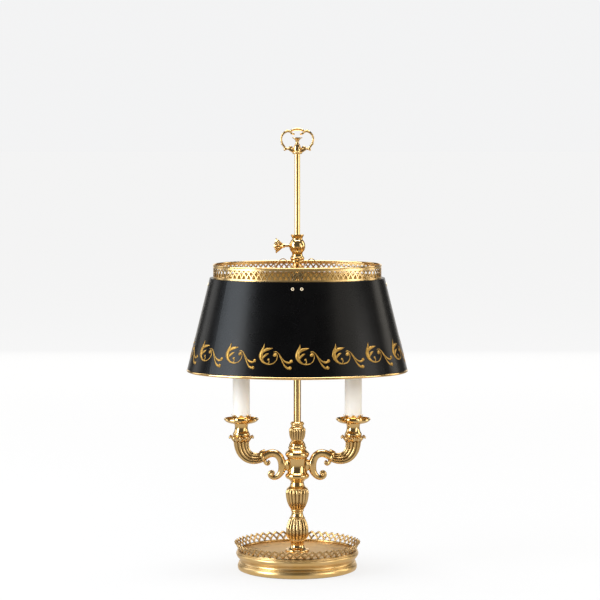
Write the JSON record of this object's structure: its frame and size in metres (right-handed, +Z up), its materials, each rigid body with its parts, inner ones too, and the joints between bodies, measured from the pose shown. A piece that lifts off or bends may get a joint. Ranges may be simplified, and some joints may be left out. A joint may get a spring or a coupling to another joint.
{
  "type": "bouillotte table lamp",
  "caption": "Candlestick table lamp with a pierced dished base, scroll candle branches and an oval metal shade that slides and turns on its stem.",
  "frame": {"origin": "centre of the felt-covered underside, on the surface the lamp stands on", "axes": "+Z up along the stem, +X towards the right-hand candle seen from the front, -Y towards the viewer"},
  "size_m": [0.334, 0.247, 0.6685],
  "materials": {
    "brass": "polished, warm",
    "brass_fluted": "polished casting, dark in the recesses",
    "brass_base": "spun and lacquered",
    "brass_dish": "satin, mottled outside its middle",
    "brass_pierced": "pierced strip, antiqued",
    "tole": "black satin paint with gilt scrolls",
    "candle": "white, semi-gloss",
    "glass": "clear, faintly frosted",
    "lampholder": "moulded",
    "bush": "moulded",
    "steel": "zinc plated",
    "iron": "rough cast",
    "felt": "dark green felt"
  },
  "bodies": {
    "stand": {"felt_pad": "felt", "base_shell": "brass_base", "cable_bush": "bush", "base_dish": "brass_dish", "base_gallery": "brass_pierced", "ballast_disc": "iron", "base_washer": "steel", "base_nut": "steel", "tie_rod": "steel", "column_foot": "brass", "lower_baluster": "brass_fluted", "upper_vase": "brass_fluted", "arm_hub": "brass", "hub_cap": "brass", "top_vase": "brass_fluted", "stem_tube": "brass", "stem_ferrule": "brass", "stem_rod": "brass", "finial_bud": "brass", "finial_ring": "brass", "arm_screws": "steel", "arm_left": "brass_fluted", "arm_right": "brass_fluted", "candle_collar_left": "brass", "candle_collar_right": "brass", "candle_cup_left": "brass", "candle_cup_right": "brass", "drip_pan_left": "brass", "drip_pan_right": "brass", "candle_crown_left": "brass", "candle_crown_right": "brass", "holder_nipple_left": "steel", "holder_nipple_right": "steel", "lampholder_left": "lampholder", "lampholder_right": "lampholder", "candle_sleeve_left": "candle", "candle_sleeve_right": "candle", "bulb_cap_left": "steel", "bulb_cap_right": "steel", "bulb_glass_left": "glass", "bulb_glass_right": "glass"},
    "clamp": {"slide_collar": "brass", "ring_nut": "brass"},
    "screw_shank": {"screw_shank": "brass"},
    "screw_head": {"screw_rosette": "brass"},
    "shade": {"shade_bridge": "brass", "shade_wall": "tole", "shade_bead": "brass", "bridge_rivets": "brass", "crown_ledge": "tole", "crown_band": "brass_pierced", "crown_rail": "brass"}
  },
  "joints": [
    {"name": "shade_height", "type": "slide", "parent": "stand", "child": "clamp", "axis": [0, 0, 1], "range_m": [-0.03, 0.115]},
    {"name": "shade_turn", "type": "hinge", "parent": "clamp", "child": "shade", "pos_m": [0, 0, 0.4608], "axis": [0, 0, 1], "continuous": true},
    {"name": "thumbscrew_feed", "type": "slide", "parent": "clamp", "child": "screw_shank", "axis": [-1, 0, 0], "range_m": [0, 0.0016]},
    {"name": "thumbscrew_turn", "type": "hinge", "parent": "screw_shank", "child": "screw_head", "pos_m": [-0.03, 0, 0.4914], "axis": [-1, 0, 0], "range_deg": [0, 720]}
  ],
  "couplings": [
    {"joint": "thumbscrew_feed", "follows": "thumbscrew_turn", "m_per_rad": 0.00012732}
  ]
}
